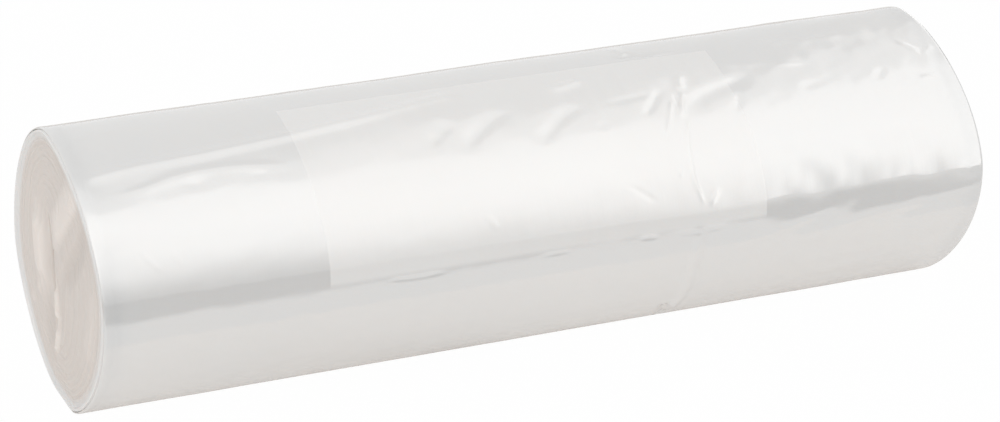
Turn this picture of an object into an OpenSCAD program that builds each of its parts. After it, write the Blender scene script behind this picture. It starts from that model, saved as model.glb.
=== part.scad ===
// Roll of film bags for the freezer, wound without a core and lying on its side, with a
// write-on panel over the front of its last turn.
// The roll's axis is X and up is Z. The origin is on the floor, under the middle of the roll.
// Angles go round the roll from the back: 90 is the top, 180 the front, 270 the floor.

/* [Roll] */
// Length of the roll, which is the flat width of a bag
roll_length = 200; // [160:5:300]
// Width of the section from front to back
roll_width = 69; // [55:0.5:90]
// Height of the section before it settles
roll_height = 60.8; // [50:0.5:85]
// Shape of the section: 2 is an ellipse, less is a rounded lozenge
section_power = 1.73; // [1.5:0.01:2.4]
// How much of a three-sided lobe the section has
section_lobe = 0.014; // [0:0.002:0.03]
// Lean of the section, with its front edge up
section_lean = 10; // [0:1:15]
// Depth to which its weight presses the underside flat
settle = 0.8; // [0.6:0.1:2]

/* [Winding] */
// Turns that show as ledges at each end
turns = 11; // [8:1:12]
// Crowding of the turns towards the outside: 1 is an even spacing
crowding = 1.8; // [1.3:0.05:2]
// Height of the ledge between two turns
ledge = 0.5; // [0.3:0.1:1]
// How far the film wanders sideways as it is wound
wander = 0.3; // [0:0.1:0.8]
// Turns in one sway of that wandering
sway_turns = 3.7; // [2:0.1:6]
// Where the free edge of the last turn lies
tail_angle = 318; // [285:1:350]

/* [Panel] */
// Length of the write-on panel along the roll
panel_length = 98.8; // [70:0.2:120]
// Distance of the panel's middle from the roll's middle
panel_offset = -2.6; // [-10:0.2:10]
// Where the panel's upper edge lies
panel_top = 95.5; // [90:0.5:110]
// Where the panel's lower edge lies
panel_bottom = 177.5; // [150:0.5:190]
// How far the panel stands above the film
panel_rise = 0.2; // [0.1:0.05:0.5]
// Width of the slope at the panel's edges
panel_slope = 0.8; // [0.4:0.1:2]

/* [Ends] */
// Length of the collapsed core's slit
core_length = 25; // [15:1:30]
// Opening of the slit at its middle
core_gap = 2.2; // [1:0.1:4]
// Depth of the slit
core_depth = 9; // [4:1:20]
// Lean of the slit towards the back
core_lean = 7; // [0:1:20]
// How far behind the section's centre the slit lies
core_back = 6; // [0:0.5:8]
// How far an end dishes in towards the core
dish = 1.2; // [0:0.1:5]
// How far the last turn stands proud of the others
lip = 0.9; // [0.3:0.1:2]

/* [Creases] */
// Width of the soft creases in the outer turns
crease_width = 2.8; // [2:0.1:4]
// Long crease on the top front: x and angle of each end
long_crease = [-98, 122, 0, 97]; // [-150:1:360]
// Crease that pinches the roll round its front: x and angle of each end
pinch_crease = [33, 92, 32, 245]; // [-150:1:360]
// First slanting pull in the film: x and angle of each end
first_pull = [-20, 131, -3, 112]; // [-150:1:360]
// Second slanting pull in the film: x and angle of each end
second_pull = [0, 138, 15, 116]; // [-150:1:360]
// Third slanting pull in the film: x and angle of each end
third_pull = [25, 146, 31, 108]; // [-150:1:360]
// Height of a crease above the film
crease_height = 0.7; // [0.2:0.1:1.5]

/* [Hidden] */
// Points in one turn of the winding: above the panel, over it and below it
upper_points = 23;
panel_points = 15;
lower_points = 22;
turn_points = upper_points + panel_points + lower_points;
// Stations along the roll: over each side of the panel and over the panel
side_stations = 7;
panel_stations = 30;
half_width = roll_width / 2;
half_height = roll_height / 2;
mean_radius = (half_width + half_height) / 2;
degree_arc = mean_radius * PI / 180;
last_turn = (turns - 1) * turn_points;
all_turns = turns * turn_points;
// Height over which the creases die out above the floor, and what the flat is skimmed by
floor_fade = 4;
skim = 0.08;
// Curve of the dish, speed at which the folds die out at the rim, and taper of the slit
dish_power = 1.5;
rim_fade = 2.5;
slit_taper = 0.7;
panel_left = panel_offset - panel_length / 2;
panel_right = panel_offset + panel_length / 2;
half_slope = panel_slope / 2;
slope_angle = half_slope / degree_arc;

// A crease is its two ends as points of the unrolled film, its height and its width
function film_point(x, angle) = [x, angle * degree_arc];
function film_crease(c, height) =
    [film_point(c[0], c[1]), film_point(c[2], c[3]), height, crease_width];
film_creases = [
    film_crease(long_crease, crease_height),
    film_crease(pinch_crease, crease_height),
    film_crease(first_pull, crease_height),
    film_crease(second_pull, crease_height),
    film_crease(third_pull, crease_height)
];

// Folds of the crumpled turns round the core: where each starts and ends, as shares of the
// section's half width and half height, then its height and its width
function end_fold(start, end, height, width) =
    let (half = [half_width, half_height])
    [[start[0] * half[0], start[1] * half[1]], [end[0] * half[0], end[1] * half[1]], height, width];
left_folds = [
    end_fold([-0.5, 0.8], [0.12, 0.3], 1, 3.4),
    end_fold([-0.58, 0.56], [-0.12, 0.07], -0.7, 2.6),
    end_fold([0.38, 0.23], [0.38, -0.16], 0.9, 2.8),
    end_fold([0.61, 0.03], [0.64, -0.3], -0.7, 3.2),
    end_fold([0.03, -0.43], [0.17, -0.7], 1, 2.4)
];
right_folds = [
    end_fold([0.12, 0.72], [0.23, 0.4], 0.8, 3.2),
    end_fold([-0.12, 0.2], [-0.15, -0.26], 0.8, 3)
];

// Even steps from a to b, of which those from the first to the last are kept
function between(a, b, count, first, last) = [for (i = [first:last]) a + (b - a) * i / count];
// Distance of a point from the stretch between two others
function stretch_distance(p, a, b) =
    let (along = b - a, share = max(0, min(1, (p - a) * along / (along * along))))
    norm(p - a - share * along);
// Rise at a point from a list of creases or folds
function rise(p, folds, i = 0) =
    i == len(folds) ? 0 :
    let (f = folds[i], far = stretch_distance(p, f[0], f[1]) / f[3])
    f[2] * exp(-far * far) + rise(p, folds, i + 1);
// A smooth step from 0 to 1 as its value goes from 0 to 1
function eased(v) = let (w = max(0, min(1, v))) w * w * (3 - 2 * w);

// The winding: one spiral from the collapsed core to the outside of the roll
function section_radius(angle) =
    let (side = pow(abs(cos(angle)) / half_width, section_power))
    let (top = pow(abs(sin(angle)) / half_height, section_power))
    (1 - section_lobe * cos(3 * angle)) / pow(side + top, 1 / section_power);
function free_point(angle) = section_radius(angle + section_lean) * [cos(angle), sin(angle)];
floor_level = settle + min([for (j = [0:turn_points - 1]) free_point(360 * j / turn_points)[1]]);
function outer_point(angle) =
    let (p = free_point(angle))
    [p[0], max(p[1], floor_level)];
function core_point(angle, scale = 1) =
    let (across = scale * core_gap / 2 * cos(angle), along = scale * core_length / 2 * sin(angle))
    [core_back + across * cos(core_lean) + along * sin(core_lean),
     along * cos(core_lean) - across * sin(core_lean)];
// The points of a turn keep to the panel's upper and lower edges
turn_angles = concat(
    between(tail_angle, 360 + panel_top - slope_angle, upper_points - 1, 0, upper_points - 1),
    between(360 + panel_top + slope_angle, 360 + panel_bottom - slope_angle,
            panel_points - 1, 0, panel_points - 1),
    between(360 + panel_bottom + slope_angle, 360 + tail_angle, lower_points, 0, lower_points - 1)
);
function turn_angle(q) = turn_angles[q % turn_points] + 360 * floor(q / turn_points);
function turn_share(q) = 1 - pow(1 - q / all_turns, crowding);
function turn_point(q) =
    (1 - turn_share(q)) * core_point(turn_angle(q)) + turn_share(q) * outer_point(turn_angle(q));

// Depth of an end's surface behind the end plane. Side 0 is the left end and side 1 the right.
function face_depth(side, p, share) =
    lip + dish * pow(1 - share, dish_power)
    - rise(p, side == 0 ? left_folds : right_folds) * eased(rim_fade * (1 - share));
function turn_depth(side, q) =
    face_depth(side, turn_point(q), turn_share(q))
    + (side == 0 ? wander : -wander) * sin(360 * q / turn_points / sway_turns);
function crest_depth(side, q) =
    turn_depth(side, q) - lip * eased((q - last_turn) / turn_points + 1);
end_top = [for (side = [0, 1]) min([for (q = [0:all_turns]) crest_depth(side, q)])];
function end_place(side, p, depth) =
    let (x = roll_length / 2 - depth + end_top[side])
    [side == 0 ? -x : x, p[0], p[1]];
function end_points(side) = concat(
    [for (q = [0:all_turns]) end_place(side, turn_point(q), crest_depth(side, q))],
    [for (q = [0:last_turn])
        end_place(side, turn_point(q), turn_depth(side, q) + ledge)],
    [for (j = [0:turn_points - 1])
        end_place(side, core_point(turn_angle(j), slit_taper), lip + dish + core_depth)]
);

// The outside between the two rims: stations along the roll and the film's rise at each
stations = concat(
    between(-roll_length / 2, panel_left - half_slope, side_stations, 1, side_stations),
    between(panel_left + half_slope, panel_right - half_slope, panel_stations, 0, panel_stations),
    between(panel_right + half_slope, roll_length / 2, side_stations, 0, side_stations - 1)
);
// A place is on the panel by 1, off it by 0, and on its slope between them
function on_panel(x, angle) =
    eased((x - panel_left) / panel_slope + 0.5) * eased((panel_right - x) / panel_slope + 0.5)
    * eased((angle - panel_top) * degree_arc / panel_slope + 0.5)
    * eased((panel_bottom - angle) * degree_arc / panel_slope + 0.5);
function film_rise(x, angle) =
    rise(film_point(x, angle), film_creases) + panel_rise * on_panel(x, angle);
function film_place(x, j) =
    let (q = last_turn + j, p = turn_point(q), angle = turn_angle(q) % 360)
    let (held = eased((p[1] - floor_level - skim) / floor_fade))
    let (out = p + held * film_rise(x, angle) * p / norm(p))
    [x, out[0], out[1]];
roll_points = concat(
    end_points(0),
    end_points(1),
    [for (x = stations) for (j = [0:turn_points]) film_place(x, j)]
);

// The roll is moved so that its flat is on the floor and its box is centred on the origin
roll_sides = [for (p = roll_points) p[1]];
roll_shift = [0, -(min(roll_sides) + max(roll_sides)) / 2, -floor_level - skim];

// Numbers of the points: crests and grooves follow the winding, then come the slit's floor
// and the rings of the outside. The last turn of the crests is the rim.
end_count = all_turns + 1 + last_turn + 1 + turn_points;
function crest(side, q) = side * end_count + q;
function groove(side, q) = side * end_count + all_turns + 1 + q;
function slit(side, j) = side * end_count + all_turns + last_turn + 2 + j % turn_points;
function ring(i, j) =
    i == 0 ? crest(0, last_turn + j) :
    i > len(stations) ? crest(1, last_turn + j) :
    2 * end_count + (i - 1) * (turn_points + 1) + j;

// Faces, each four-sided one cut in two, with the right end's turned over
function two(a, b, c, d) = [[a, b, c], [a, c, d]];
function flipped(faces) = [for (f = faces) [for (i = [len(f) - 1:-1:0]) f[i]]];
function end_faces(side) = concat(
    [for (q = [0:last_turn - 1])
        for (f = two(crest(side, q), groove(side, q), groove(side, q + 1), crest(side, q + 1))) f],
    [for (q = [0:last_turn - 1])
        for (f = two(groove(side, q), crest(side, q + turn_points),
                     crest(side, q + 1 + turn_points), groove(side, q + 1))) f],
    [[crest(side, last_turn), groove(side, last_turn), crest(side, all_turns)]],
    [for (j = [0:turn_points - 1])
        for (f = two(slit(side, j), crest(side, j), crest(side, j + 1), slit(side, j + 1))) f],
    two(slit(side, 0), crest(side, turn_points), groove(side, 0), crest(side, 0)),
    [[for (j = [0:turn_points - 1]) slit(side, j)]]
);
function film_faces() = [
    for (i = [0:len(stations)]) for (j = [0:turn_points])
        let (k = j == turn_points ? 0 : j + 1)
        for (f = two(ring(i + 1, j), ring(i + 1, k), ring(i, k), ring(i, j))) f
];

// The whole winding is one solid, pressed flat where it lies on the floor
module bag_roll() {
    color([0.89, 0.88, 0.87])
    difference() {
        translate(roll_shift)
            polyhedron(
                points = roll_points,
                faces = concat(end_faces(0), flipped(end_faces(1)), film_faces()),
                convexity = 8
            );
        translate([-roll_length, -roll_width, -roll_height])
            cube([2 * roll_length, 2 * roll_width, roll_height]);
    }
}

bag_roll();
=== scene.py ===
# Looks of the roll of film bags, wound without a core and lying on its side.
# Metres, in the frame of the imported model: the roll's axis is X, up is Z, the floor is at 0.
# Angles go round the roll from the back: 90 is the top, 180 the front, 270 the floor.

import math

import bpy
import numpy as np
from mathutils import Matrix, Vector

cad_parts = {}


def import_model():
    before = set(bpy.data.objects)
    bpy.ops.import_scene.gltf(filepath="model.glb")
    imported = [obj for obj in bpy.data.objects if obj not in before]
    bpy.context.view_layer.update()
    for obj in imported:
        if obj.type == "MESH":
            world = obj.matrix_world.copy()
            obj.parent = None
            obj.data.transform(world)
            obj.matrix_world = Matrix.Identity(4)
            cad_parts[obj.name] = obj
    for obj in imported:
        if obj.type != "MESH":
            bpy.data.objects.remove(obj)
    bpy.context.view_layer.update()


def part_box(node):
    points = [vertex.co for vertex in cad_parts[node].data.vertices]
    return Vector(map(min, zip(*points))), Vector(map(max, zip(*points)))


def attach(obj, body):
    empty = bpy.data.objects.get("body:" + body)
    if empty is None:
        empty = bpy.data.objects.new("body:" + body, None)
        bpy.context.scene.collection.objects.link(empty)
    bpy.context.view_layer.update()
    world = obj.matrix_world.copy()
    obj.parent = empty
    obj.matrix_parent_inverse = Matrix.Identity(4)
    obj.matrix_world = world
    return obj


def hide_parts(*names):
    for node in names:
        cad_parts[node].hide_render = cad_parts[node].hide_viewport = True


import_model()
roll_low, roll_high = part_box("bag_roll")

MM = 0.001
HALF_LENGTH = (roll_high.x - roll_low.x) / 2

# Section of the roll: a rounded lozenge that leans and settles on the floor
HALF_WIDTH = 34.5 * MM
HALF_HEIGHT = 30.4 * MM
SECTION_POWER = 1.73
SECTION_LOBE = 0.014
SECTION_LEAN = 10
SETTLE = 0.8 * MM
FLAT_EDGE = 0.15 * MM

# Winding of the turns, and the last turn's free edge
TAIL = 318
LAP = 0.2 * MM
FILM_WALL = 0.2 * MM
SIDE_DROP = 0.24 * MM
TURNS = 40
CROWDING = 1.45
TURN_POINTS = 216

# The write-on panel over the front of the last turn
PANEL_LENGTH = 98.8 * MM
PANEL_OFFSET = -2.6 * MM
PANEL_LEFT = PANEL_OFFSET - PANEL_LENGTH / 2
PANEL_RIGHT = PANEL_OFFSET + PANEL_LENGTH / 2
PANEL_TOP = 95.5
PANEL_BOTTOM = 177.5
PANEL_RISE = 0.004 * MM
PANEL_SLOPE = 0.4 * MM

# Ends of the outer film, which curls over the rims, and the line of the strip at its left end
FILM_LEFT = -HALF_LENGTH + 0.35 * MM
FILM_RIGHT = HALF_LENGTH - 0.35 * MM
RIM_ROUND = 0.9 * MM
RIM_DROP = 0.7 * MM
STRIP_LINE = -HALF_LENGTH + 2.4 * MM

# The collapsed core's slit
CORE_LENGTH = 25 * MM
CORE_GAP = 1.5 * MM
CORE_DEPTH = 9 * MM
CORE_LEAN = 7
CORE_BACK = 8 * MM
CORE_DROP = 3 * MM

# Ends: how far they dish in, and the lip of the last turn
DISH = 0.8 * MM
DISH_POWER = 1.5
LIP = 0.7 * MM
RIM_FADE = 2.5
LEDGE = 0.04 * MM
WANDER = 0.06 * MM
SWAY_TURNS = 3.7

# Camera at the photograph's angle; its lens and sensor are in millimetres
CAMERA_AZIMUTH = -22.7
CAMERA_ELEVATION = 22.2
CAMERA_DISTANCE = 0.748
CAMERA_LENS = 123.8
CAMERA_SENSOR = 36
CAMERA_TARGET = Vector((-0.00026, 0.00069, 0.02744))


# Section

# Steps of the outline's table, and of the line along which stations are spread
TABLE_STEPS = 3600
SPREAD_STEPS = 4000
table_angle = np.arange(TABLE_STEPS + 1) * 360 / TABLE_STEPS


def free_radius(turn):
    """Distance of the outline from its centre before it settles; turn is in radians."""
    side = (np.abs(np.cos(turn)) / HALF_WIDTH) ** SECTION_POWER
    top = (np.abs(np.sin(turn)) / HALF_HEIGHT) ** SECTION_POWER
    return (1 - SECTION_LOBE * np.cos(3 * turn)) / (side + top) ** (1 / SECTION_POWER)


def outline_table():
    """Place, outward normal and arc length of the outline at the table's angles."""
    turn = np.radians(table_angle)
    radius = free_radius(turn + math.radians(SECTION_LEAN))
    y, z = radius * np.cos(turn), radius * np.sin(turn)
    floor_level = z.min() + SETTLE
    z = floor_level + FLAT_EDGE * np.logaddexp(0, (z - floor_level) / FLAT_EDGE)
    place = np.stack([y, z], 1)
    ahead, behind = np.roll(place[:-1], -1, 0), np.roll(place[:-1], 1, 0)
    tangent = np.vstack([ahead - behind, (ahead - behind)[:1]])
    tangent /= np.linalg.norm(tangent, axis=1)[:, None]
    normal = np.stack([tangent[:, 1], -tangent[:, 0]], 1)
    step = np.linalg.norm(np.diff(place, axis=0), axis=1)
    arc = np.concatenate([[0], np.cumsum(step)])
    centre = np.array([-(y.min() + y.max()) / 2, -floor_level])
    return place, normal, arc, centre


table_place, table_normal, table_arc, SECTION_CENTRE = outline_table()
GIRTH = table_arc[-1]


def looked_up(table, angle):
    """A table's value at angles in degrees, one column or two."""
    angle = np.asarray(angle, float) % 360
    if table.ndim == 1:
        return np.interp(angle, table_angle, table)
    return np.stack([np.interp(angle, table_angle, table[:, i]) for i in (0, 1)], -1)


def arc_at(angle):
    """Arc length round the roll from the back, which goes on growing past a full turn."""
    angle = np.asarray(angle, float)
    return looked_up(table_arc, angle) + GIRTH * np.floor(angle / 360)


def section_point(angle, rise):
    """Points (y, z) of the outline, raised along its outward normal by rise."""
    return looked_up(table_place, angle) + looked_up(table_normal, angle) * np.asarray(rise)[..., None]


def eased(value):
    """A smooth step from 0 to 1 as value goes from 0 to 1."""
    share = np.clip(value, 0, 1)
    return share * share * (3 - 2 * share)


def bell(value, middle, width):
    """1 at the middle, and next to nothing a few widths away from it."""
    return np.exp(-((value - middle) / width) ** 2)


def spread(low, high, count, dense):
    """count + 1 places from low to high, closer together where dense(place) is larger."""
    fine = np.linspace(low, high, SPREAD_STEPS)
    weight = dense(fine)
    total = np.concatenate([[0], np.cumsum((weight[1:] + weight[:-1]) / 2)])
    return np.interp(np.linspace(0, total[-1], count + 1), total, fine)


# Relief of the outer film, on the unrolled film: x along the roll and arc length round it

# Straight pieces of a smooth path between two of its spots
PATH_PIECES = 8
# A crease is worked out this many of its widths to either side
CREASE_REACH = 3.2
# Random waves: how many are added up, and what keeps the longest of them low
WAVES = 28
LONG_WAVE_CURB = 0.3
# The film's random waves: seed, length along and round the roll, and mean slope
RIPPLES = ((3, 60 * MM, 26 * MM, 0.010), (8, 14 * MM, 11 * MM, 0.014), (12, 7 * MM, 4.5 * MM, 0.01))
# Their strength, and what is added to it over a stretch to the right of the panel
UNREST = 0.8
MORE_UNREST = 0.8
UNREST_STRETCH = 10 * MM
# The relief fades towards the film's ends over this length, and is this far into it at the end
END_FADE = 4 * MM
END_START = 0.25
# The fine groove of the strip at the left end
STRIP_DEPTH = 0.03 * MM
STRIP_WIDTH = 0.3 * MM


def film_spot(x, angle):
    """A point of the unrolled film, from millimetres along the roll and an angle round it."""
    wound = angle + 360 if angle < TAIL else angle
    return np.array([x * MM, float(arc_at(wound))])


def smooth_path(spots):
    """A smooth path through a few spots of the film, as a list of points."""
    p = [film_spot(*s) for s in spots]
    if len(p) == 2:
        return np.array(p)
    p = [2 * p[0] - p[1], *p, 2 * p[-1] - p[-2]]
    points = []
    for a, b, c, d in zip(p, p[1:], p[2:], p[3:]):
        for t in np.arange(PATH_PIECES) / PATH_PIECES:
            points.append(0.5 * (2 * b + (c - a) * t + (2 * a - 5 * b + 4 * c - d) * t ** 2
                                 + (3 * b - a - 3 * c + d) * t ** 3))
    points.append(p[-2])
    return np.array(points)


def near_path(x, s, path):
    """Signed distance from a path, with + on its left, and the share of its length there."""
    length = np.linalg.norm(np.diff(path, axis=0), axis=1)
    start = np.concatenate([[0], np.cumsum(length)])
    best = np.full(x.shape, 1e9)
    signed, share = np.zeros(x.shape), np.zeros(x.shape)
    for i, (a, b) in enumerate(zip(path, path[1:])):
        way = (b - a) / length[i]
        along = (x - a[0]) * way[0] + (s - a[1]) * way[1]
        side = way[0] * (s - a[1]) - way[1] * (x - a[0])
        beyond = along - np.clip(along, 0, length[i])
        far = np.hypot(side, beyond)
        closer = far < best
        best = np.where(closer, far, best)
        signed = np.where(closer, np.where(side < 0, -far, far), signed)
        share = np.where(closer, (start[i] + np.clip(along, 0, length[i])) / start[-1], share)
    return signed, share


def crease(spots, height, below, above, ends=(0.2, 0.2)):
    """A crease in the film: its path, its height or the heights at its two ends, its widths
    below and above it, in millimetres, and the shares of its length over which it dies out."""
    heights = height if isinstance(height, tuple) else (height, height)
    return smooth_path(spots), heights, below * MM, above * MM, ends


def crease_rise(x, s, item):
    """Rise of the film at x and s for one crease."""
    path, heights, below, above, ends = item
    reach = CREASE_REACH * max(below, above)
    low, high = path.min(0) - reach, path.max(0) + reach
    rise = np.zeros(x.shape)
    near = (x > low[0]) & (x < high[0]) & (s > low[1]) & (s < high[1])
    if not near.any():
        return rise
    signed, share = near_path(x[near], s[near], path)
    width = np.where(signed > 0, below, above)
    strength = eased(share / max(ends[0], 1e-3)) * eased((1 - share) / max(ends[1], 1e-3))
    height = heights[0] + (heights[1] - heights[0]) * share
    rise[near] = height * MM * strength * bell(signed, 0, width)
    return rise


def swell(x, angle, along, around, height, turn=0):
    """A soft rise or dent: its middle, its reach along and round the roll, its height, all in
    millimetres, and how far it is turned on the film, in degrees."""
    return film_spot(x, angle), along * MM, around * MM, height * MM, math.radians(turn)


def swell_rise(x, s, item):
    """Rise of the film at x and s for one swell."""
    spot, along, around, height, turn = item
    dx, ds = x - spot[0], s - spot[1]
    u = dx * math.cos(turn) + ds * math.sin(turn)
    v = ds * math.cos(turn) - dx * math.sin(turn)
    return height * np.exp(-(u / along) ** 2 - (v / around) ** 2)


def ripples(x, s, seed, along, around, slope):
    """Low random waves of the film, of about the given lengths along and round the roll and
    the given mean slope."""
    chance = np.random.default_rng(seed)
    total = np.zeros(x.shape)
    for _ in range(WAVES):
        kx, ks = chance.normal() / along, chance.normal() / around
        phase = chance.uniform(0, 2 * math.pi)
        curb = math.hypot(kx, ks) + LONG_WAVE_CURB / around
        total += np.sin(2 * math.pi * (kx * x + ks * s) + phase) / curb
    return total * slope * math.sqrt(2 / WAVES) / (2 * math.pi)


CREASES = [
    # The long crease over the top front
    crease([(-98, 121.3), (-88, 118), (-70, 115.6), (-50, 111.8), (-30, 107.4), (-9, 100.6)],
           (0.28, 0.46), 1.6, 1.4, (0.05, 0.12)),
    # The arc that closes the shine over the left side
    crease([(-94, 132.4), (-85, 129), (-78, 125.6), (-70, 124.6), (-60, 126.4), (-53.6, 129.4)],
           0.16, 1.7, 0.9, (0.25, 0.25)),
    # Leaf-shaped pulls over the panel
    crease([(-24.5, 131.5), (-21, 125), (-17, 118.5)], -0.28, 1.1, 2.4, (0.4, 0.35)),
    crease([(-18, 136), (-12.5, 127), (-7.5, 120.5), (-2.5, 116.2)], -0.4, 1.2, 2.8, (0.35, 0.3)),
    crease([(-1, 137.5), (4.2, 129.2), (8.3, 123.7), (12.4, 119.2)], -0.36, 1.2, 2.3, (0.35, 0.3)),
    crease([(24.2, 131), (27.6, 125.4), (31.2, 116.8)], -0.3, 0.9, 1.1, (0.35, 0.3)),
    crease([(5.6, 107.9), (11, 106.3), (16, 103.8)], 0.32, 1.6, 0.8, (0.35, 0.35)),
    crease([(16, 121.5), (22, 120.6), (29, 119.4)], -0.1, 0.8, 1.0, (0.4, 0.2)),
    crease([(13.6, 134.5), (15.6, 129.5)], -0.1, 0.8, 0.8, (0.4, 0.4)),
    # The bundle of sharp creases that pinches the roll round its front
    crease([(32.2, 124.5), (29.8, 133.5), (27, 143.5)], 0.2, 0.4, 0.4, (0.2, 0.35)),
    crease([(33.8, 135), (32.4, 142), (31.4, 150), (31, 160), (32.4, 169)],
           (0.22, 0.15), 0.42, 0.38, (0.2, 0.2)),
    crease([(31.6, 137), (30.8, 150)], 0.1, 0.4, 0.4, (0.4, 0.4)),
    crease([(35.6, 120.5), (34, 127.5), (32.6, 135)], 0.26, 0.5, 0.55, (0.3, 0.3)),
    crease([(33.4, 120.5), (33.2, 129)], -0.16, 0.5, 0.5, (0.4, 0.4)),
    crease([(38, 110.8), (36.2, 114.5), (35.6, 121)], 0.24, 0.9, 0.9, (0.4, 0.3)),
    crease([(28.2, 153.5), (28, 157.5)], 0.14, 0.35, 0.35, (0.35, 0.35)),
    crease([(31.8, 168), (31.2, 190), (32, 215), (31.8, 243)], (0.12, 0.4), 1.3, 1.3, (0.2, 0.05)),
    crease([(24.6, 93.4), (28.6, 91.4), (33, 92.8), (41, 93.6)], -0.3, 0.5, 0.7, (0.25, 0.5)),
    crease([(28.6, 222), (31.4, 233), (33, 250)], -0.9, 1.3, 1.1, (0.3, 0.1)),
    crease([(27, 80), (28.4, 86), (29, 91)], 0.3, 1.1, 1.3, (0.4, 0.3)),
    crease([(33.4, 169), (36.4, 162.6)], 0.18, 0.5, 0.45, (0.35, 0.4)),
    crease([(15, 156.3), (18.6, 161), (21.8, 165.4)], -0.1, 0.4, 0.5, (0.4, 0.3)),
    crease([(-16.9, 159), (-15.8, 162.5), (-14.8, 166)], 0.12, 0.4, 0.4, (0.4, 0.3)),
    # From the pinch up to the panel's right edge and past it
    crease([(33.6, 131), (39.5, 124.4), (46, 120.6), (54, 116.4)], -0.36, 2.6, 1.5, (0.25, 0.3)),
    crease([(44.6, 136), (46.6, 131), (48.6, 124)], -0.12, 0.8, 0.8, (0.35, 0.35)),
    # The nose of the front under the panel, which is the sharpest bend of the film
    crease([(-8, 172.6), (2, 174.2), (9, 171.5), (15, 169.8),
            (21, 172), (33, 173.5), (47, 175.5), (54, 175)],
           (0.05, 0.28), 4.0, 4.6, (0.25, 0.15)),
    # Short tucks along the panel's lower edge
    crease([(-40, 177.2), (-33, 178), (-26, 177.4)], -0.07, 0.5, 0.6, (0.25, 0.25)),
    crease([(-6, 177.8), (2, 177.2)], -0.05, 0.5, 0.6, (0.3, 0.3)),
    crease([(17, 177), (21.6, 177.6)], -0.07, 0.5, 0.6, (0.3, 0.3)),
    crease([(24.6, 177.8), (31, 178.4), (38, 177.6)], -0.07, 0.5, 0.6, (0.25, 0.25)),
    # The right side
    crease([(46, 108), (56, 110), (67, 113.6)], (0.06, 0.14), 1.2, 1.2, (0.1, 0.3)),
    crease([(59, 113.4), (68, 114.6)], 0.1, 0.7, 0.6, (0.3, 0.3)),
    crease([(55, 101.5), (64, 97.6), (72, 98.8), (86, 99.2)], 0.2, 1.7, 1.2, (0.3, 0.4)),
    crease([(90.2, 108), (92.4, 113.5), (94.4, 119)], 0.12, 0.8, 0.8, (0.35, 0.3)),
    crease([(94.4, 119.6), (98, 114.6)], 0.08, 0.8, 0.8, (0.3, 0.3)),
    crease([(91, 131.6), (95, 132.4)], 0.1, 0.5, 0.5, (0.3, 0.3)),
    crease([(80, 130.5), (84.4, 122.4)], -0.12, 0.9, 0.9, (0.4, 0.4)),
    # Two slanting pulls under the nose on the right
    crease([(43, 186), (53, 181), (64, 175)], 0.32, 1.6, 2.8, (0.3, 0.3)),
    crease([(60, 187.5), (69, 183.6), (81, 180.4), (93, 178), (101, 177)], 0.3, 1.6, 2.8, (0.25, 0.05)),
    # The back: long slack pulls, and the pinch that runs on over it
    crease([(-96, 52), (-70, 47), (-42, 44), (-16, 46)], 0.28, 2.4, 1.6, (0.1, 0.3)),
    crease([(-60, 20), (-34, 13), (-6, 10)], 0.22, 2.2, 1.8, (0.3, 0.3)),
    crease([(28, 66), (30.6, 48), (29.6, 26), (31, 4)], -0.3, 1.0, 1.6, (0.3, 0.25)),
    crease([(35, 40), (48, 33), (66, 30)], 0.24, 1.8, 1.4, (0.3, 0.3)),
    crease([(52, 8), (72, 2), (98, 0)], 0.26, 2.4, 1.8, (0.3, 0.1)),
    crease([(-92, -8), (-80, 4), (-74, 14)], -0.24, 1.4, 1.8, (0.3, 0.3)),
    crease([(70, 62), (80, 54), (86, 44)], -0.22, 1.2, 1.6, (0.3, 0.3)),
    # Wisps at the left end
    crease([(-91.4, 151), (-89.2, 157), (-86.6, 162.4)], 0.05, 0.5, 0.5, (0.4, 0.25)),
    crease([(-84.6, 153), (-83.4, 157.5), (-82.2, 162)], 0.03, 0.6, 0.6, (0.4, 0.3)),
]

SWELLS = [
    # They bend the upper edge of the shine over the left side, the panel and the right side
    swell(-102, 142, 13, 6, 0.75),
    swell(-53, 139, 8, 5, 0.25),
    swell(-24, 112, 14, 6, 0.4),
    swell(16, 136, 9, 5, 0.16),
    swell(31, 111, 5, 4, 0.3),
    swell(66, 112, 9, 4, 0.14),
    # Small dents
    swell(-75.5, 131, 1.7, 1.1, -0.07),
    swell(-61.5, 131, 1.7, 1.0, -0.07),
    swell(-57, 131.4, 1.6, 0.8, -0.05),
    swell(-68, 149, 1.6, 4, -0.08, 8),
    swell(64.5, 127, 2.2, 1.1, -0.07),
    swell(90, 129.6, 2.6, 1.2, -0.08),
    swell(-95, 155, 2.6, 4, -0.06),
    # Waves along the lower edge of the shine on the right
    swell(60, 166, 4, 3, -0.12, 20),
    swell(74, 168, 5, 2.6, 0.12, -10),
    swell(88, 166, 4, 3, -0.12, 12),
]


def on_panel(x, s):
    """1 on the write-on panel, 0 off it, and between them on its edges' slope."""
    top, bottom = float(arc_at(360 + PANEL_TOP)), float(arc_at(360 + PANEL_BOTTOM))
    inside = 1.0
    for reach in (x - PANEL_LEFT, PANEL_RIGHT - x, s - top, bottom - s):
        inside = inside * eased(reach / PANEL_SLOPE + 0.5)
    return inside


def film_relief(x, s):
    """Rise of the outer film above the plain outline."""
    total = PANEL_RISE * on_panel(x, s)
    for item in CREASES:
        total = total + crease_rise(x, s, item)
    for item in SWELLS:
        total = total + swell_rise(x, s, item)
    unrest = UNREST + MORE_UNREST * eased((x - PANEL_RIGHT) / UNREST_STRETCH)
    for layer in RIPPLES:
        total = total + unrest * ripples(x, s, *layer)
    left, right = (eased(inside / END_FADE + END_START) for inside in (x - FILM_LEFT, FILM_RIGHT - x))
    return total * (left * right) - STRIP_DEPTH * bell(x, STRIP_LINE, STRIP_WIDTH)


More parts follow.
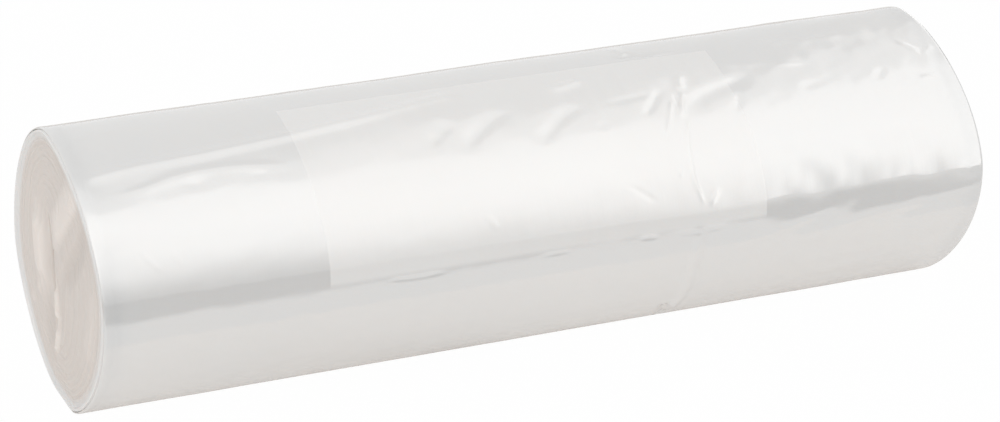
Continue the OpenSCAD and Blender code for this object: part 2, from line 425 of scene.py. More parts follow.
def curl(x):
    """How far the outer film drops where it curls over a rim."""
    short = np.clip(1 - (HALF_LENGTH - np.abs(x)) / RIM_ROUND, 0, 1)
    return RIM_ROUND * (1 - np.sqrt(1 - short ** 2))


# Meshes

def linked(name, data):
    """An object of the scene with this mesh, lamp or camera."""
    made = bpy.data.objects.new(name, data)
    bpy.context.scene.collection.objects.link(made)
    return made


def make_mesh(name, points, faces, uv, floats=None, sharp=50):
    """A mesh object from points, faces, a place on the film for each point, point values by
    name, and the angle in degrees above which an edge is sharp."""
    mesh = bpy.data.meshes.new(name)
    mesh.from_pydata(np.asarray(points).tolist(), [], faces)
    mesh.polygons.foreach_set("use_smooth", np.ones(len(mesh.polygons), bool))
    for key, values in (floats or {}).items():
        layer = mesh.attributes.new(key, "FLOAT", "POINT")
        layer.data.foreach_set("value", np.asarray(values, np.float32))
    corner = np.zeros(len(mesh.loops), np.int32)
    mesh.loops.foreach_get("vertex_index", corner)
    film = mesh.uv_layers.new(name="film")
    film.data.foreach_set("uv", np.asarray(uv, np.float32)[corner].ravel())
    mesh.set_sharp_from_angle(angle=math.radians(sharp))
    return linked(name, mesh)


def grid_faces(first, second):
    """Quads between two rows of point numbers of the same length."""
    first, second = np.asarray(first), np.asarray(second)
    return np.stack([first[:-1], first[1:], second[1:], second[:-1]], 1).tolist()


def closed(row):
    """A row of point numbers that comes back to its first."""
    return np.append(row, row[0])


# The outer film: a thin closed sleeve, wound once, with its free edge at the tail

FILM_STATIONS = 340
FILM_RING = 280
# Angles between which the ring has more points, and how softly that begins and ends
BUSY_ANGLES = (70, 200)
BUSY_SOFT = 30
# More stations and points at the panel's edges, within a reach along and round the roll
EDGE_MORE = 3
EDGE_REACH = 0.6 * MM
EDGE_ANGLE = 1.0
# The free edge is cut in small teeth, within this share of a turn, and keeps less relief
FREE_EDGE = 0.01
FREE_EDGE_RELIEF = 0.3
TOOTH = 0.25 * MM
TOOTH_PITCH = 2.6 * MM
# The relief grows from nothing to its full height this far above the floor
FLOOR_HOLD = 4 * MM
# The sleeve's inner wall: how far in from the ends it steps down, and how deep
INNER_STATIONS = (3 * MM, 8 * MM)
INNER_DROP = 1.9 * MM


def film_density(x):
    """More stations at the pinch, near the ends, on the rims, and at the strip and the panel."""
    from_end = HALF_LENGTH - np.abs(x)
    places = ((x, 31 * MM, 5 * MM, 2.2), (x, 95 * MM, 6 * MM, 1), (x, -90 * MM, 6 * MM, 0.6),
              (from_end, 0, 1.2 * MM, 2.5), (x, STRIP_LINE, EDGE_REACH, 1.5),
              (x, PANEL_LEFT, EDGE_REACH, EDGE_MORE), (x, PANEL_RIGHT, EDGE_REACH, EDGE_MORE))
    busy = 0
    for value, middle, reach, more in places:
        busy = busy + more * bell(value, middle, reach)
    return 1 + busy


def ring_density(angle):
    """More points round the front and the top, where creases show most, and at the panel."""
    first, last = (360 + busy for busy in BUSY_ANGLES)
    front = eased((angle - first) / BUSY_SOFT) * eased((last - angle) / BUSY_SOFT)
    for edge in (PANEL_TOP, PANEL_BOTTOM):
        front = front + EDGE_MORE * bell(angle - 360, edge, EDGE_ANGLE)
    return 0.5 + front


def film_place(x, angle, rise):
    """Points of the roll from x, an angle past the tail and a rise."""
    point = section_point(angle, rise) + SECTION_CENTRE
    return np.stack([x, point[..., 0], np.maximum(point[..., 1], 0)], -1)


def outer_film():
    """The last turn of film: outer side first, then an inner wall that closes the sleeve."""
    stations = spread(FILM_LEFT, FILM_RIGHT, FILM_STATIONS, film_density)
    ring = spread(TAIL, TAIL + 360, FILM_RING, ring_density)
    turned = (ring - TAIL) / 360
    x, angle = np.meshgrid(stations, ring, indexing="ij")
    edge = np.clip(1 - np.minimum(turned, 1 - turned) / FREE_EDGE, 0, 1)
    tooth = TOOTH * np.abs((stations / TOOTH_PITCH) % 1 - 0.5) * 2
    angle = angle + np.degrees(tooth[:, None] * edge[None, :] / HALF_HEIGHT)
    s = arc_at(angle)
    wound = -LAP * (1 - turned)[None, :]
    held = eased((looked_up(table_place, angle)[..., 1] + SECTION_CENTRE[1]) / FLOOR_HOLD)
    kept = FREE_EDGE_RELIEF + (1 - FREE_EDGE_RELIEF) * (1 - edge)
    relief = film_relief(x, s) * held * kept - curl(x)
    rings = [film_place(x, angle, relief + wound)]
    inner_x = [stations[-1], stations[-1] - INNER_STATIONS[0], stations[-1] - INNER_STATIONS[1],
               stations[0] + INNER_STATIONS[1], stations[0] + INNER_STATIONS[0], stations[0]]
    drops = [FILM_WALL, FILM_WALL, INNER_DROP, INNER_DROP, FILM_WALL, FILM_WALL]
    for place, drop in zip(inner_x, drops):
        row = -1 if place > 0 else 0
        rise = relief[row] if abs(place - stations[row]) < MM else 0 * relief[row]
        base = film_place(np.full(len(ring), place), angle[row], rise + wound[0] - drop)
        rings.append(base[None])
    points = np.concatenate(rings, 0)
    rows, columns = points.shape[:2]
    number = np.arange(rows * columns).reshape(rows, columns)
    faces = []
    for i in range(rows):
        faces += grid_faces(closed(number[i]), closed(number[(i + 1) % rows]))
    u = (points[..., 0] / (2 * HALF_LENGTH)) + 0.5
    v = np.broadcast_to((arc_at(ring) - arc_at(TAIL))[None] / GIRTH, u.shape)
    uv = np.stack([u.ravel(), v.ravel()], 1)
    return make_mesh("outer_film", points.reshape(-1, 3), faces, uv)


# The wound turns: one spiral at each end from the collapsed core to the outside

SPIRAL = TURNS * TURN_POINTS
LAST_TURN = (TURNS - 1) * TURN_POINTS
# Rows across a turn: its groove, inner edge and outer edge, each with its place and depth
TURN_ROWS = (("groove", 0.0, LEDGE), ("inner", 0.2, 0.0), ("outer", 0.78, 0.01 * MM))
# Shares of the way out between which the lip of the last turn rises
LIP_START = 0.955
LIP_END = 0.987
# Rings down the slit: the share of its depth and of its width
SLIT_RINGS = ((0.35, 0.8), (1.0, 0.45))
# Stations along the side under the outer film: distance from the end, and drop below it
SIDE_STATIONS = ((0.25 * MM, 0.36 * MM), (0.9 * MM, 0.06 * MM),
                 (3.6 * MM, 0.06 * MM), (6 * MM, 2.2 * MM))
# Folds: how round their crest is, their least strength, and the share over which they taper
FOLD_CREST = 0.3 * MM
FOLD_LEAST = 0.3
FOLD_TAPER = 0.25
# Bundles of turns that stand out of line: seed, how many in a turn, height, and rim fade
BUNDLE_SEED = 20
BUNDLES = 3
BUNDLE_STEP = 0.02 * MM
BUNDLE_FADE = 8
# Random waves of the ends: seed, length, mean slope, and how much calmer they are at the rim
CRUMPLE_SEED = 30
CRUMPLE_LENGTH = 16 * MM
CRUMPLE_SLOPE = 0.06
CRUMPLE_CALM = 0.6


def end_fold(spots, height, near, far):
    """A fold of the crumpled turns: its path (y, z) from the section's centre, its height and
    its widths on its left and right, in millimetres."""
    return np.array(spots) * MM, height * MM, near * MM, far * MM


LEFT_FOLDS = [
    # The ridge from the front edge down to the slit, steep towards the front
    end_fold([(-18, 23.5), (-5, 12.4), (4.6, 4.2)], 1.3, 6.5, 2.4),
    # The groove in front of it
    end_fold([(-21, 16.6), (-11.4, 7), (-6, 2.8), (0.8, -2.4)], -0.9, 2.2, 4.5),
    # A ridge behind the slit, light in front and dark behind
    end_fold([(15.6, 7.4), (15.2, -7.6)], 1.2, 5.5, 4.5),
    end_fold([(8.6, 5), (9.4, -4.6)], -0.35, 1.6, 1.6),
    # Flaps and lumps under the slit
    end_fold([(4.6, -5.2), (2.8, -12.6)], 1.2, 2.4, 0.9),
    end_fold([(3.4, -14.8), (6.6, -21.2)], 0.9, 2.6, 1.4),
    end_fold([(11, -11), (9, -22)], -0.6, 4.5, 3.5),
    end_fold([(17, -10.2), (18.8, -11.4)], 0.4, 2.0, 1.6),
    end_fold([(21.2, -14), (22.8, -15.2)], 0.4, 1.9, 1.6),
    end_fold([(-27, 8), (-22, -6), (-16, -14)], 0.3, 5, 6),
]
RIGHT_FOLDS = [
    end_fold([(4.1, 21.9), (7.9, 12.2), (6, 5)], 0.8, 4.5, 2.2),
    end_fold([(-4.1, 6.1), (-5.2, -7.9), (-2, -15)], 0.7, 2.2, 5.0),
    end_fold([(-19, -2), (-14, -14)], -0.5, 4.6, 3.0),
    end_fold([(16, 8), (20, -6)], 0.6, 3.5, 6.2),
    end_fold([(-22, 10), (-10, 16)], 0.5, 4.0, 3.0),
]
FOLDS = (LEFT_FOLDS, RIGHT_FOLDS)


def fold_rise(point, folds):
    """Rise of an end at points (y, z) from the section's centre, each fold with a sharp crest."""
    total = np.zeros(len(point))
    for path, height, near, far in folds:
        signed, share = near_path(point[:, 0], point[:, 1], path)
        width = np.where(signed > 0, near, far)
        tapered = eased(share / FOLD_TAPER) * eased((1 - share) / FOLD_TAPER)
        strength = FOLD_LEAST + (1 - FOLD_LEAST) * tapered
        total += height * strength * np.maximum(1 - np.hypot(signed, FOLD_CREST) / width, 0)
    return total


def core_point(angle, scale=1.0):
    """Points (y, z) of the slit's edge from the section's centre."""
    turn, lean = np.radians(angle), math.radians(CORE_LEAN)
    across = scale * CORE_GAP / 2 * np.cos(turn)
    along = scale * CORE_LENGTH / 2 * np.sin(turn)
    y = CORE_BACK + across * math.cos(lean) + along * math.sin(lean)
    z = along * math.cos(lean) - across * math.sin(lean) - CORE_DROP
    return np.stack([y, z], -1)


def turn_share(turned, offset):
    """Share of the way from the slit to the outside, after some turns and across one more."""
    return 1 - (1 - (turned + offset) / (TURNS + 1)) ** CROWDING


def turn_point(turned, share):
    """Points (y, z) of the winding from the section's centre."""
    angle = TAIL + 360 * turned
    outside = section_point(angle, np.full(len(turned), -SIDE_DROP - RIM_DROP))
    return (1 - share)[:, None] * core_point(angle) + share[:, None] * outside


def bundle_noise(turned, seed):
    """How far bundles of turns stand out of line, from one to the next along the spiral."""
    knots = np.random.default_rng(seed).normal(size=TURNS * BUNDLES + 4)
    return np.interp(turned * BUNDLES, np.arange(len(knots)), knots)


def end_depth(side, turned, share, point):
    """Depth of an end behind the end plane."""
    fade = eased(RIM_FADE * (1 - share))
    sway = (1, -1)[side] * WANDER * np.sin(2 * math.pi * turned / SWAY_TURNS)
    crumple = ripples(point[:, 0], point[:, 1], CRUMPLE_SEED + side,
                      CRUMPLE_LENGTH, CRUMPLE_LENGTH, CRUMPLE_SLOPE)
    bundles = BUNDLE_STEP * bundle_noise(turned, BUNDLE_SEED + side)
    depth = LIP + DISH * (1 - share) ** DISH_POWER - fold_rise(point, FOLDS[side]) * fade
    depth = depth + sway + bundles * eased(BUNDLE_FADE * (1 - share))
    depth = depth + crumple * fade * (1 - CRUMPLE_CALM * share)
    return np.maximum(depth - LIP * eased((share - LIP_START) / (LIP_END - LIP_START)), 0)


def wound_turns():
    """The turns under the outer film, with both ends, as one closed mesh."""
    groups, values, first = [], [], {}

    def add(key, x, point, share, face, fold=0):
        first[key] = sum(len(g) for g in groups)
        place = point + SECTION_CENTRE
        groups.append(np.column_stack([x, place[:, 0], np.maximum(place[:, 1], 0)]))
        values.append(np.column_stack([share, np.full(len(x), face), np.full(len(x), fold)]))

    def row(key, count, begin=0):
        return first[key] + begin + np.arange(count)

    turned = np.arange(SPIRAL + 1) / TURN_POINTS
    slit_angle = TAIL + 360 * np.arange(TURN_POINTS) / TURN_POINTS
    faces = []
    for side, sign in ((0, -1), (1, 1)):
        for name, offset, extra in TURN_ROWS:
            share = turn_share(turned, offset)
            point = turn_point(turned, share)
            depth = end_depth(side, turned, share, point) + extra
            # The folds' heights also set the painted shade in their hollows and the painted light on
            # their crests
            fold = fold_rise(point, FOLDS[side]) / MM
            add((name, side), sign * (HALF_LENGTH - depth), point, share, 1, fold)
        for k, (deep, scale) in enumerate(SLIT_RINGS):
            x = np.full(TURN_POINTS, sign * (HALF_LENGTH - LIP - DISH - deep * CORE_DEPTH))
            add(("slit", side, k), x, core_point(slit_angle, scale), np.zeros(TURN_POINTS), 1)
        whole, one_less = SPIRAL + 1, LAST_TURN + 1
        bands = [
            (row(("groove", side), whole), row(("inner", side), whole)),
            (row(("inner", side), whole), row(("outer", side), whole)),
            (row(("outer", side), one_less), row(("groove", side), one_less, TURN_POINTS)),
            (closed(row(("slit", side, 0), TURN_POINTS)), row(("groove", side), TURN_POINTS + 1)),
            (closed(row(("slit", side, 1), TURN_POINTS)), closed(row(("slit", side, 0), TURN_POINTS))),
        ]
        made = [f for inside, outside in bands for f in grid_faces(inside, outside)]
        made.append(row(("slit", side, 1), TURN_POINTS)[::-1].tolist())
        g, a, b = (first[(name, side)] for name, _, _ in TURN_ROWS)
        made.append([g, a, b, g + TURN_POINTS, first[("slit", side, 0)]])
        made.append([b + LAST_TURN, b + SPIRAL, a + SPIRAL, g + SPIRAL])
        faces += made if side == 0 else [f[::-1] for f in made]

    last = turned[LAST_TURN:]
    last_share = turn_share(last, TURN_ROWS[-1][1])
    stations = [(-1, *station) for station in SIDE_STATIONS]
    stations += [(1, *station) for station in SIDE_STATIONS[::-1]]
    rings = [row(("outer", 0), TURN_POINTS + 1, LAST_TURN)]
    for sign, distance, drop in stations:
        angle = TAIL + 360 * last
        rise = -SIDE_DROP - drop - LAP * (1 - (last - last[0]))
        x = np.full(len(last), sign * (HALF_LENGTH - distance))
        add(("side", sign, distance), x, section_point(angle, rise), last_share, 0)
        rings.append(row(("side", sign, distance), len(last)))
    rings.append(row(("outer", 1), TURN_POINTS + 1, LAST_TURN))
    for here, after in zip(rings, rings[1:]):
        faces += grid_faces(closed(here), closed(after))

    points, value = np.concatenate(groups), np.concatenate(values)
    uv = np.column_stack([value[:, 0], (points[:, 0] / HALF_LENGTH + 1) / 2])
    floats = {"share": value[:, 0], "face": value[:, 1], "fold": value[:, 2]}
    return make_mesh("wound_turns", points, faces, uv, floats, sharp=80)


# Materials

BUMP_STRENGTH = 0.3
# The middle part of a noise, over which it makes its whole difference
NOISE_RANGE = (0.3, 0.7)
FILM_IOR = 1.5
HAZE_DEPTH = 2 * MM


def new_material(name):
    """A material with its node tree cleared, ready for its nodes."""
    made = bpy.data.materials.new(name)
    made.use_nodes = True
    made.node_tree.nodes.clear()
    return made


class Nodes:
    """Short ways to make the nodes of one tree."""

    def __init__(self, tree):
        self.tree = tree

    def add(self, kind, **settings):
        made = self.tree.nodes.new(kind)
        for key, value in settings.items():
            setattr(made, key, value)
        return made

    def put(self, value, socket):
        """Sets a socket to a number or colour, or links another node's output to it."""
        if isinstance(value, bpy.types.NodeSocket):
            self.tree.links.new(value, socket)
        else:
            socket.default_value = value

    def math(self, operation, *values):
        made = self.add("ShaderNodeMath", operation=operation)
        for value, socket in zip(values, made.inputs):
            self.put(value, socket)
        return made.outputs[0]

    def ramp(self, value, low, high, start=0.0, end=1.0, smooth=True):
        """Goes from start to end as value goes from low to high."""
        made = self.add("ShaderNodeMapRange", interpolation_type="SMOOTHSTEP" if smooth else "LINEAR")
        for key, item in (("Value", value), ("From Min", low), ("From Max", high),
                          ("To Min", start), ("To Max", end)):
            self.put(item, made.inputs[key])
        return made.outputs["Result"]

    def mix(self, share, first, second):
        """A mix of two colours."""
        made = self.add("ShaderNodeMix", data_type="RGBA")
        self.put(share, made.inputs["Factor"])
        colours = [s for s in made.inputs if s.type == "RGBA"]
        self.put(first, colours[0])
        self.put(second, colours[1])
        return next(s for s in made.outputs if s.type == "RGBA")

    def noise(self, vector, scale, detail):
        made = self.add("ShaderNodeTexNoise", noise_dimensions="3D")
        self.put(vector, made.inputs["Vector"])
        self.put(scale, made.inputs["Scale"])
        self.put(detail, made.inputs["Detail"])
        return made.outputs["Fac"]

    def stretched(self, vector, scale):
        """A vector multiplied by three numbers."""
        made = self.add("ShaderNodeVectorMath", operation="MULTIPLY")
        self.put(vector, made.inputs[0])
        self.put(scale, made.inputs[1])
        return made.outputs[0]

    def bump(self, height, distance, normal=None):
        made = self.add("ShaderNodeBump")
        self.put(height, made.inputs["Height"])
        self.put(distance, made.inputs["Distance"])
        self.put(BUMP_STRENGTH, made.inputs["Strength"])
        if normal is not None:
            self.put(normal, made.inputs["Normal"])
        return made.outputs["Normal"]

    def attribute(self, name):
        return self.add("ShaderNodeAttribute", attribute_name=name).outputs["Fac"]

    def split(self, vector):
        """The X, Y and Z of a vector."""
        made = self.add("ShaderNodeSeparateXYZ")
        self.put(vector, made.inputs[0])
        return made.outputs

    def position(self):
        """The X, Y and Z of the place that is looked at."""
        return self.split(self.add("ShaderNodeNewGeometry").outputs["Position"])

    def surface(self, shader):
        """Makes a shader the material's surface."""
        self.put(shader.outputs[0], self.add("ShaderNodeOutputMaterial").inputs["Surface"])


def film_shader(n, colour, mirror, roughness, normal, haze, haze_spread):
    """The shader of both materials, with some light spreading in the layers under the surface."""
    shader = n.add("ShaderNodeBsdfPrincipled")
    for name, value in (("Base Color", colour), ("Metallic", mirror), ("Roughness", roughness),
                        ("Normal", normal), ("IOR", FILM_IOR), ("Subsurface Weight", haze),
                        ("Subsurface Radius", haze_spread), ("Subsurface Scale", HAZE_DEPTH)):
        n.put(value, shader.inputs[name])
    n.surface(shader)


BARE_FILM = (0.80, 0.795, 0.785, 1)
PANEL_FILM = (0.87, 0.86, 0.845, 1)
CLOUD_FILM = (0.83, 0.81, 0.79, 1)
CLOUD_SHARE = 0.2
BARE_MIRROR, PANEL_MIRROR = 0.26, 0.155
BARE_ROUGHNESS, PANEL_ROUGHNESS = 0.08, 0.13
STREAK_ROUGHNESS = (-0.03, 0.05)
# Half the width over which the panel fades into the bare film, at its lower edge and elsewhere
PANEL_FADE = 0.9 * MM
PANEL_SOFT = 0.2 * MM
# How far the panel's edges waver
WAVER = 0.3 * MM
# Noises of the film, in cells for each metre
WAVER_SCALE, CLOUD_SCALE = 60, 45
STREAK_SCALE = (700, 30, 1)
SCRATCH_SCALE = (2600, 160, 1)
STREAK_DEPTH, SCRATCH_DEPTH = 0.03 * MM, 0.01 * MM
FILM_HAZE = 0.15
FILM_HAZE_SPREAD = (1.0, 0.85, 0.75)


def film_material():
    """Clear film in many layers, glossy where it is bare and paler and duller on the panel."""
    made = new_material("film")
    n = Nodes(made.node_tree)
    place = n.add("ShaderNodeUVMap", uv_map="film").outputs["UV"]
    metres = n.stretched(place, (2 * HALF_LENGTH, GIRTH, 0))
    at = n.split(metres)
    waver = n.math("MULTIPLY", n.math("SUBTRACT", n.noise(metres, WAVER_SCALE, 1), 0.5), WAVER)
    along, around = (n.math("ADD", at[axis], waver) for axis in "XY")
    upper, lower = (float(arc_at(360 + a) - arc_at(TAIL)) for a in (PANEL_TOP, PANEL_BOTTOM))
    left, right = PANEL_LEFT + HALF_LENGTH, PANEL_RIGHT + HALF_LENGTH
    panel = n.ramp(along, left - PANEL_SOFT, left + PANEL_SOFT)
    edges = ((along, right, PANEL_SOFT, 0), (around, upper, PANEL_SOFT, 1),
             (around, lower - PANEL_FADE, PANEL_FADE, 0))
    for value, edge, blur, after in edges:
        panel = n.math("MULTIPLY", panel, n.ramp(value, edge - blur, edge + blur, 1 - after, after))
    clouds = n.noise(metres, CLOUD_SCALE, 3)
    streaks = n.noise(n.stretched(metres, STREAK_SCALE), 1, 3)
    scratches = n.noise(n.stretched(metres, SCRATCH_SCALE), 1, 2)
    base = n.mix(panel, BARE_FILM, PANEL_FILM)
    tinted = n.mix(n.ramp(clouds, *NOISE_RANGE, 0.0, CLOUD_SHARE), base, CLOUD_FILM)
    mirror = n.ramp(panel, 0, 1, BARE_MIRROR, PANEL_MIRROR, smooth=False)
    rough = n.ramp(panel, 0, 1, BARE_ROUGHNESS, PANEL_ROUGHNESS, smooth=False)
    rough = n.math("ADD", rough, n.ramp(streaks, *NOISE_RANGE, *STREAK_ROUGHNESS))
    normal = n.bump(scratches, SCRATCH_DEPTH, n.bump(streaks, STREAK_DEPTH))
    film_shader(n, tinted, mirror, rough, normal, FILM_HAZE, FILM_HAZE_SPREAD)
    return made


RIM_FILM = (0.78, 0.77, 0.76, 1)
# Painted light and shade of the ends' folds: the lighter colour goes on their crests and the darker one
# in their hollows
END_CREST_PAINTED_LIGHT = (0.81, 0.755, 0.71, 1)
END_HOLLOW_PAINTED_SHADE = (0.65, 0.60, 0.56, 1)
END_MIRROR = 0.06
RIM_ROUGHNESS, END_ROUGHNESS = 0.2, 0.42
# Thin lines along the layers: how many across an end, their colour, share and depth
LAYER_LINES = 130
LAYER_SHADE = (0.70, 0.64, 0.59, 1)
LAYER_SHARE = 0.06
LAYER_DEPTH = 0.02 * MM
# Shares of the way out between which the rim turns into the end, the folds' heights in millimetres
# between which painted shade in their hollows turns into painted light on their crests, and the lines'
# noise
RIM_SHARES = (0.97, 0.86)
FOLD_HEIGHTS = (-0.5, 0.8)
LAYER_RANGE = (0.35, 0.75)
GRAIN_SCALE = 900
GRAIN_DEPTH = 0.03 * MM
END_HAZE = 0.3
END_HAZE_SPREAD = (1.0, 0.8, 0.7)


def ends_material():
    """Edges of the wound turns: many layers seen end on, so duller and warmer."""
    made = new_material("film_edges")
    n = Nodes(made.node_tree)
    share, face = n.attribute("share"), n.attribute("face")
    place = n.add("ShaderNodeTexCoord").outputs["Object"]
    lines = n.add("ShaderNodeTexNoise", noise_dimensions="1D")
    n.put(n.math("MULTIPLY", share, LAYER_LINES), lines.inputs["W"])
    n.put(1.0, lines.inputs["Scale"])
    n.put(3.0, lines.inputs["Detail"])
    stripe = lines.outputs["Fac"]
    inner = n.ramp(share, *RIM_SHARES)
    # Painted shade and light: the ends are darker in the hollows of their folds and lighter on their
    # crests, by the folds' height
    base = n.mix(n.ramp(n.attribute("fold"), *FOLD_HEIGHTS), END_HOLLOW_PAINTED_SHADE, END_CREST_PAINTED_LIGHT)
    base = n.mix(n.math("MULTIPLY", inner, face), RIM_FILM, base)
    base = n.mix(n.ramp(stripe, *LAYER_RANGE, 0.0, LAYER_SHARE), base, LAYER_SHADE)
    mirror = n.ramp(face, 0, 1, BARE_MIRROR, END_MIRROR, smooth=False)
    rough = n.ramp(face, 0, 1, RIM_ROUGHNESS, END_ROUGHNESS, smooth=False)
    grain = n.noise(place, GRAIN_SCALE, 2)
    normal = n.bump(grain, GRAIN_DEPTH, n.bump(stripe, LAYER_DEPTH))
    film_shader(n, base, mirror, rough, normal, END_HAZE, END_HAZE_SPREAD)
    return made


# Floor, light and camera

FLOOR_REACH = 12.0
FLOOR_LEVEL = -0.1 * MM
# The floor's colour as it lights the roll, and its colour to the camera
FLOOR_WARM = (0.95, 0.91, 0.875, 1)
FLOOR_WHITE = (1, 1, 1, 1)
# How much of the floor is plain white to the camera, and to light that bounces off it
FLOOR_GLOW = 0.98
FLOOR_BOUNCE = 0.72
# The light tent is half a tunnel: its radius, reach along the roll, lift and rows of faces
TENT_RADIUS = 1.0
TENT_LENGTH = (-1.3, 1.5)
TENT_LIFT = 2 * MM
TENT_ROWS = 60
# Brightness of the light tent at angles round the roll: 0 is the front, 90 overhead
TENT_LIGHT = ((0, 0.3), (10, 0.44), (21, 0.76), (37, 1.34), (50, 1.66), (64, 1.78), (78, 1.77),
              (86, 1.72), (88.5, 1.62), (91, 1.4), (101, 1.3), (104.5, 1.06), (110, 0.98),
              (118, 0.98), (132, 1.02), (150, 1.06), (180, 1.06))
TENT_FULL = 2.0
# The bright part widens about its middle angle from a place on the right: how fast past the
# middle and before it
TENT_MIDDLE = 74
TENT_WIDE_START = 0.4
TENT_WIDENING = (2.4, 2.2)
# The apron begins at a gap from the roll. Its near part has one brightness, up to a soft edge,
# and past that edge it goes from one brightness to another between two places along the roll
APRON_GAP = 12 * MM
APRON_NEAR_LEVEL = 0.62
APRON_EDGE_PLACE = 41 * MM
APRON_EDGE_SOFT = 8 * MM
APRON_FAR_LEVEL = (0.14, 0.55)
APRON_TURN = (0.1, 0.2)
FILL_AZIMUTH, FILL_ELEVATION = -35, 8
FILL_DISTANCE = 1.1
FILL_SIZE = (1.0, 0.5)
FILL_POWER = 2.9


def only_rays(obj, *kinds):
    """Shows an object only to some kinds of rays."""
    for kind in ("camera", "diffuse", "glossy", "transmission", "volume_scatter", "shadow"):
        setattr(obj, "visible_" + kind, kind in kinds)


def stage_mesh(name, points, faces):
    """A mesh of the surroundings."""
    mesh = bpy.data.meshes.new(name)
    mesh.from_pydata(points, [], faces)
    made = linked(name, mesh)
    return made


def flat_sheet(name, x_range, y_range, level):
    """One flat face between two places along the roll and two across it."""
    (left, right), (near, far) = x_range, y_range
    corners = [(left, near, level), (right, near, level), (right, far, level), (left, far, level)]
    return stage_mesh(name, corners, [[0, 1, 2, 3]])


def aim(made, target, azimuth, elevation, distance):
    """Sets a lamp or camera at a distance from a target and turns it there. The angles are in
    degrees: 0 and 0 look from the front, and a positive azimuth from the right."""
    azimuth, elevation = math.radians(azimuth), math.radians(elevation)
    back = Vector((math.sin(azimuth) * math.cos(elevation),
                   -math.cos(azimuth) * math.cos(elevation), math.sin(elevation)))
    made.location = target + back * distance
    made.rotation_euler = (-back).to_track_quat("-Z", "Y").to_euler()


def floor():
    """A pale floor that looks white and keeps the roll's shadow."""
    reach = (-FLOOR_REACH, FLOOR_REACH)
    made = flat_sheet("floor", reach, reach, FLOOR_LEVEL)
    material = new_material("floor")
    n = Nodes(material.node_tree)
    ray = n.add("ShaderNodeLightPath").outputs
    seen = n.math("MULTIPLY", ray["Is Camera Ray"], FLOOR_GLOW)
    glow = n.math("ADD", seen, n.math("MULTIPLY", ray["Is Diffuse Ray"], FLOOR_BOUNCE))
    plain = n.add("ShaderNodeBsdfDiffuse")
    n.put(n.mix(ray["Is Camera Ray"], FLOOR_WARM, FLOOR_WHITE), plain.inputs["Color"])
    light = n.add("ShaderNodeEmission")
    blend = n.add("ShaderNodeMixShader")
    n.put(glow, blend.inputs[0])
    n.put(plain.outputs[0], blend.inputs[1])
    n.put(light.outputs[0], blend.inputs[2])
    n.surface(blend)
    made.data.materials.append(material)


def light_tent():
    """The soft light: a white tunnel over the roll, bright above the front and dark low down."""
    points = []
    for i in range(TENT_ROWS + 1):
        turn = math.pi * i / TENT_ROWS
        for x in TENT_LENGTH:
            points.append((x, -TENT_RADIUS * math.cos(turn), TENT_RADIUS * math.sin(turn) + TENT_LIFT))
    faces = [[2 * i, 2 * i + 1, 2 * i + 3, 2 * i + 2] for i in range(TENT_ROWS)]
    made = stage_mesh("light_tent", points, faces)
    only_rays(made, "glossy", "transmission")
    material = new_material("light_tent")
    n = Nodes(material.node_tree)
    at = n.position()
    turn = n.math("ARCTAN2", at["Z"], n.math("MULTIPLY", at["Y"], -1.0))
    # The bright part widens to the right
    beyond = n.math("MAXIMUM", n.math("SUBTRACT", at["X"], TENT_WIDE_START), 0.0)
    middle = math.radians(TENT_MIDDLE)
    widening = n.ramp(n.math("LESS_THAN", turn, middle), 0, 1, *TENT_WIDENING, smooth=False)
    narrow = n.math("SUBTRACT", 1.0, n.math("MULTIPLY", beyond, widening))
    turn = n.math("ADD", n.math("MULTIPLY", n.math("SUBTRACT", turn, middle), narrow), middle)
    ramp = n.add("ShaderNodeValToRGB")
    n.put(n.math("DIVIDE", turn, math.pi), ramp.inputs[0])
    stops = ramp.color_ramp.elements
    while len(stops) < len(TENT_LIGHT):
        stops.new(0.5)
    for stop, (angle, level) in zip(stops, TENT_LIGHT):
        stop.position = angle / 180
        stop.color = (level / TENT_FULL,) * 3 + (1,)
    light = n.add("ShaderNodeEmission")
    n.put(ramp.outputs["Color"], light.inputs["Color"])
    n.put(TENT_FULL, light.inputs["Strength"])
    n.surface(light)
    made.data.materials.append(material)


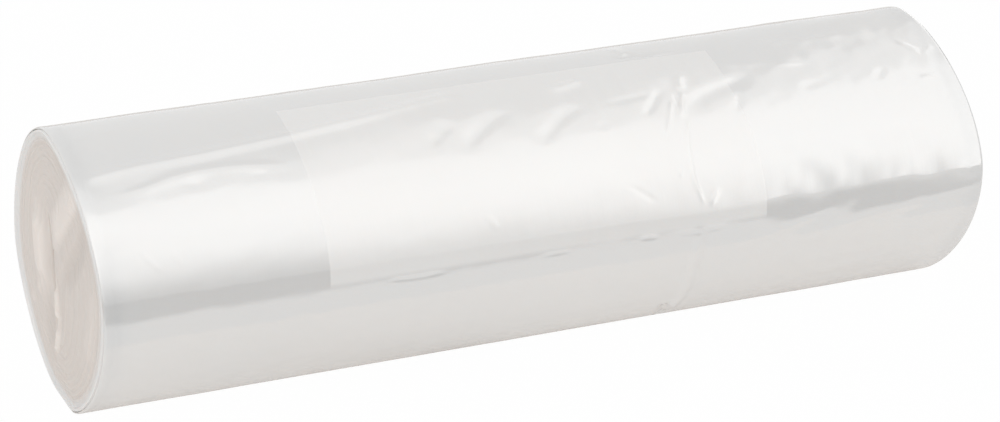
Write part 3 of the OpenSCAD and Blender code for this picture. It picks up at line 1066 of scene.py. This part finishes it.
def apron():
    """A dark card on the floor in front of the roll, which only its gloss shows."""
    made = flat_sheet("apron", TENT_LENGTH, (-HALF_WIDTH - APRON_GAP, -TENT_RADIUS), MM)
    only_rays(made, "glossy")
    material = new_material("apron")
    n = Nodes(material.node_tree)
    at = n.position()
    light = n.add("ShaderNodeEmission")
    far = n.ramp(at["X"], *APRON_TURN, *APRON_FAR_LEVEL)
    edge = -HALF_WIDTH - APRON_EDGE_PLACE
    paler = n.ramp(at["Y"], edge - APRON_EDGE_SOFT, edge + APRON_EDGE_SOFT)
    level = n.math("MULTIPLY", paler, APRON_NEAR_LEVEL)
    level = n.math("ADD", level, n.math("MULTIPLY", n.math("SUBTRACT", 1.0, paler), far))
    n.put(level, light.inputs["Strength"])
    n.surface(light)
    made.data.materials.append(material)


def fill_light():
    """A wide soft light low in front of the left end, kept out of the reflections."""
    data = bpy.data.lights.new("fill_light", "AREA")
    data.shape = "RECTANGLE"
    data.size, data.size_y = FILL_SIZE
    data.energy = FILL_POWER
    made = linked("fill_light", data)
    aim(made, Vector((0, 0, 0)), FILL_AZIMUTH, FILL_ELEVATION, FILL_DISTANCE)
    made.visible_glossy = False
    made.visible_camera = False


# Strength of the world's light, where 1 is the white that is seen
WORLD_LEVEL = 0.98


def world():
    """A white world to look at, and an even soft light."""
    made = bpy.data.worlds.new("world")
    made.use_nodes = True
    made.node_tree.nodes.clear()
    n = Nodes(made.node_tree)
    ray = n.add("ShaderNodeLightPath").outputs
    seen = n.math("MAXIMUM", ray["Is Camera Ray"], ray["Is Glossy Ray"])
    seen = n.math("MAXIMUM", seen, ray["Is Transmission Ray"])
    back = n.add("ShaderNodeBackground")
    n.put(n.ramp(seen, 0, 1, WORLD_LEVEL, 1.0, smooth=False), back.inputs["Strength"])
    n.put(back.outputs[0], n.add("ShaderNodeOutputWorld").inputs["Surface"])
    bpy.context.scene.world = made


def camera():
    """The photograph's camera."""
    data = bpy.data.cameras.new("camera")
    data.lens = CAMERA_LENS
    data.sensor_width = CAMERA_SENSOR
    made = linked("camera", data)
    aim(made, CAMERA_TARGET, CAMERA_AZIMUTH, CAMERA_ELEVATION, CAMERA_DISTANCE)
    bpy.context.scene.camera = made


# The whole scene, the roll last

camera()
world()
floor()
light_tent()
apron()
fill_light()

film = outer_film()
film.data.materials.append(film_material())
turns = wound_turns()
turns.data.materials.append(ends_material())
for piece in (film, turns):
    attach(piece, "root")
    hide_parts("bag_roll")

bpy.context.scene.view_settings.view_transform = "Standard"
